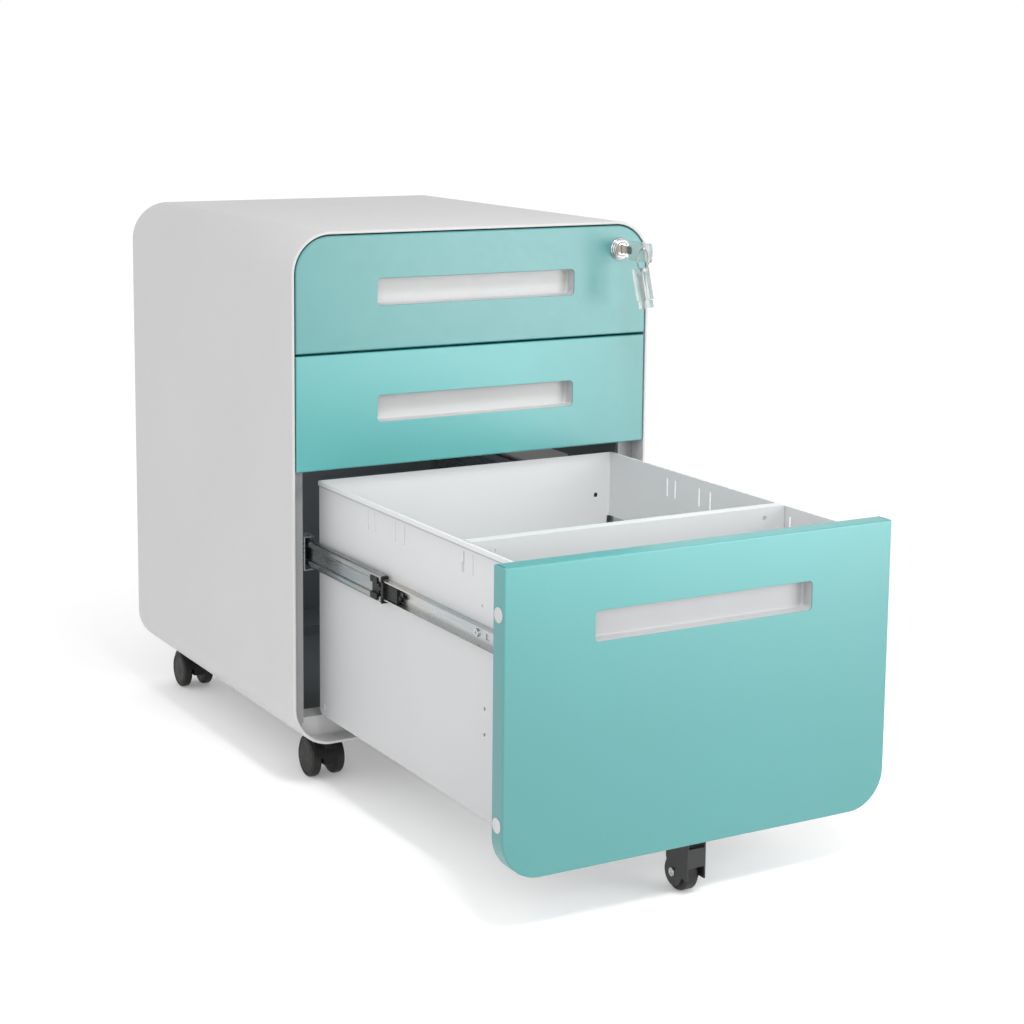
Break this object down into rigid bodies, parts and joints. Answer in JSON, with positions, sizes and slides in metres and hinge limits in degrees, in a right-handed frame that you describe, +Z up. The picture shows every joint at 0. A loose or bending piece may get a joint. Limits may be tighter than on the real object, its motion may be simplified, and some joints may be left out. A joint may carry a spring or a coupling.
{
  "type": "mobile filing pedestal",
  "caption": "Steel mobile pedestal with wrap-around rounded shell, lockable box drawers over a deep file drawer, recessed pulls, casters and an anti-tip wheel.",
  "frame": {"origin": "on the floor, under the middle of the cabinet with its file drawer pulled out to its stop", "axes": "+X to the right seen from the front, -Y the way the drawers open, +Z up"},
  "size_m": [0.4, 0.831, 0.548],
  "materials": {
    "shell_white": "satin powder coat",
    "rail_white": "satin powder coat",
    "charcoal_paint": "satin powder coat",
    "zinc_screws": "bright zinc",
    "zinc_rails": "bright zinc",
    "intermediate_steel": "zinc",
    "teal_paint": "satin powder coat",
    "box_white": "satin powder coat",
    "cup_white": "satin",
    "bracket_black": "satin",
    "caster_tread": "matte",
    "caster_black": "satin",
    "cage_steel": "satin",
    "ball_steel": "polished",
    "lock_chrome": "polished",
    "lock_plug_metal": "satin",
    "key_metal": "nickel",
    "key_clear": "clear moulded plastic"
  },
  "bodies": {
    "cabinet": {"outer_shell": "shell_white", "back_panel": "charcoal_paint", "back_panel_screws": "zinc_screws", "left_upright": "charcoal_paint", "right_upright": "charcoal_paint", "top_front_rail": "charcoal_paint", "bottom_front_rail": "rail_white", "floor_pan": "charcoal_paint", "caster_stems": "zinc_screws", "caster_nuts": "zinc_screws", "file_cabinet_rails": "zinc_rails", "middle_cabinet_rails": "zinc_rails", "top_cabinet_rails": "zinc_rails"},
    "lock_bar": {"lock_bar": "zinc_rails"},
    "file_drawer": {"file_front": "teal_paint", "file_box": "box_white", "file_pull_cup": "cup_white", "file_side_buttons": "cup_white", "file_divider": "box_white", "file_drawer_rails": "zinc_rails", "file_rail_screws": "zinc_screws", "anti_tip_bracket": "bracket_black", "anti_tip_axle": "zinc_screws"},
    "anti_tip_wheel": {"anti_tip_wheel": "caster_tread"},
    "file_middle_rails": {"file_middle_rails": "intermediate_steel", "file_end_blocks": "caster_black"},
    "file_outer_cages": {"file_outer_cages": "cage_steel", "file_outer_balls": "ball_steel"},
    "file_inner_cages": {"file_inner_cages": "cage_steel", "file_inner_balls": "ball_steel"},
    "middle_drawer": {"middle_front": "teal_paint", "middle_box": "box_white", "middle_pull_cup": "cup_white", "middle_drawer_rails": "zinc_rails"},
    "middle_cages": {"middle_cages": "cage_steel", "middle_balls": "ball_steel"},
    "top_drawer": {"top_front": "teal_paint", "top_box": "box_white", "top_pull_cup": "cup_white", "top_drawer_rails": "zinc_rails", "lock_housing": "lock_chrome"},
    "top_cages": {"top_cages": "cage_steel", "top_balls": "ball_steel"},
    "lock_plug": {"lock_plug": "lock_plug_metal", "lock_cam": "lock_chrome", "key_blade": "key_metal", "key_head": "key_clear"},
    "key_ring": {"key_ring": "key_metal"},
    "spare_key": {"spare_key_head": "key_clear", "spare_key_blade": "key_metal"},
    "caster_fl": {"caster_fl_hood": "caster_black"},
    "caster_fl_wheels": {"caster_fl_wheels": "caster_tread"},
    "caster_fr": {"caster_fr_hood": "caster_black"},
    "caster_fr_wheels": {"caster_fr_wheels": "caster_tread"},
    "caster_rl": {"caster_rl_hood": "caster_black"},
    "caster_rl_wheels": {"caster_rl_wheels": "caster_tread"},
    "caster_rr": {"caster_rr_hood": "caster_black"},
    "caster_rr_wheels": {"caster_rr_wheels": "caster_tread"}
  },
  "joints": [
    {"name": "file_drawer_slide", "type": "slide", "parent": "cabinet", "child": "file_drawer", "axis": [0, 1, 0], "range_m": [0, 0.4]},
    {"name": "file_middle_rail_slide", "type": "slide", "parent": "cabinet", "child": "file_middle_rails", "axis": [0, 1, 0], "range_m": [0, 0.2]},
    {"name": "file_outer_cage_roll", "type": "slide", "parent": "cabinet", "child": "file_outer_cages", "axis": [0, 1, 0], "range_m": [0, 0.1]},
    {"name": "file_inner_cage_roll", "type": "slide", "parent": "cabinet", "child": "file_inner_cages", "axis": [0, 1, 0], "range_m": [0, 0.3]},
    {"name": "middle_drawer_slide", "type": "slide", "parent": "cabinet", "child": "middle_drawer", "axis": [0, -1, 0], "range_m": [0, 0.3]},
    {"name": "middle_cage_roll", "type": "slide", "parent": "cabinet", "child": "middle_cages", "axis": [0, -1, 0], "range_m": [0, 0.15]},
    {"name": "top_drawer_slide", "type": "slide", "parent": "cabinet", "child": "top_drawer", "axis": [0, -1, 0], "range_m": [0, 0.3]},
    {"name": "top_cage_roll", "type": "slide", "parent": "cabinet", "child": "top_cages", "axis": [0, -1, 0], "range_m": [0, 0.15]},
    {"name": "lock_bar_lift", "type": "slide", "parent": "cabinet", "child": "lock_bar", "axis": [0, 0, 1], "range_m": [0, 0.008]},
    {"name": "anti_tip_roll", "type": "hinge", "parent": "file_drawer", "child": "anti_tip_wheel", "pos_m": [0, -0.3865, 0.0178], "axis": [1, 0, 0], "continuous": true},
    {"name": "lock_turn", "type": "hinge", "parent": "top_drawer", "child": "lock_plug", "pos_m": [0.1637, -0.0155, 0.5199], "axis": [0, -1, 0], "range_deg": [0, 90]},
    {"name": "key_ring_swing", "type": "hinge", "parent": "lock_plug", "child": "key_ring", "pos_m": [0.1637, -0.0595, 0.524], "axis": [0.9135, 0.4067, 0], "range_deg": [-20, 20]},
    {"name": "spare_key_swing", "type": "hinge", "parent": "key_ring", "child": "spare_key", "pos_m": [0.1637, -0.0595, 0.5022], "axis": [0.9135, 0.4067, 0], "range_deg": [-20, 20]},
    {"name": "caster_fl_swivel", "type": "hinge", "parent": "cabinet", "child": "caster_fl", "pos_m": [-0.148, 0.0225, 0.043], "axis": [0, 0, 1], "continuous": true},
    {"name": "caster_fl_roll", "type": "hinge", "parent": "caster_fl", "child": "caster_fl_wheels", "pos_m": [-0.148, 0.0345, 0.0195], "axis": [1, 0, 0], "continuous": true},
    {"name": "caster_fr_swivel", "type": "hinge", "parent": "cabinet", "child": "caster_fr", "pos_m": [0.148, 0.0225, 0.043], "axis": [0, 0, 1], "continuous": true},
    {"name": "caster_fr_roll", "type": "hinge", "parent": "caster_fr", "child": "caster_fr_wheels", "pos_m": [0.148, 0.0345, 0.0195], "axis": [1, 0, 0], "continuous": true},
    {"name": "caster_rl_swivel", "type": "hinge", "parent": "cabinet", "child": "caster_rl", "pos_m": [-0.148, 0.3705, 0.043], "axis": [0, 0, 1], "continuous": true},
    {"name": "caster_rl_roll", "type": "hinge", "parent": "caster_rl", "child": "caster_rl_wheels", "pos_m": [-0.148, 0.3825, 0.0195], "axis": [1, 0, 0], "continuous": true},
    {"name": "caster_rr_swivel", "type": "hinge", "parent": "cabinet", "child": "caster_rr", "pos_m": [0.148, 0.3705, 0.043], "axis": [0, 0, 1], "continuous": true},
    {"name": "caster_rr_roll", "type": "hinge", "parent": "caster_rr", "child": "caster_rr_wheels", "pos_m": [0.148, 0.3825, 0.0195], "axis": [1, 0, 0], "continuous": true}
  ],
  "couplings": [
    {"joint": "file_middle_rail_slide", "follows": "file_drawer_slide", "ratio": 0.5},
    {"joint": "file_outer_cage_roll", "follows": "file_drawer_slide", "ratio": 0.25},
    {"joint": "file_inner_cage_roll", "follows": "file_drawer_slide", "ratio": 0.75},
    {"joint": "middle_cage_roll", "follows": "middle_drawer_slide", "ratio": 0.5},
    {"joint": "top_cage_roll", "follows": "top_drawer_slide", "ratio": 0.5},
    {"joint": "lock_bar_lift", "follows": "lock_turn", "m_per_rad": 0.005092}
  ]
}
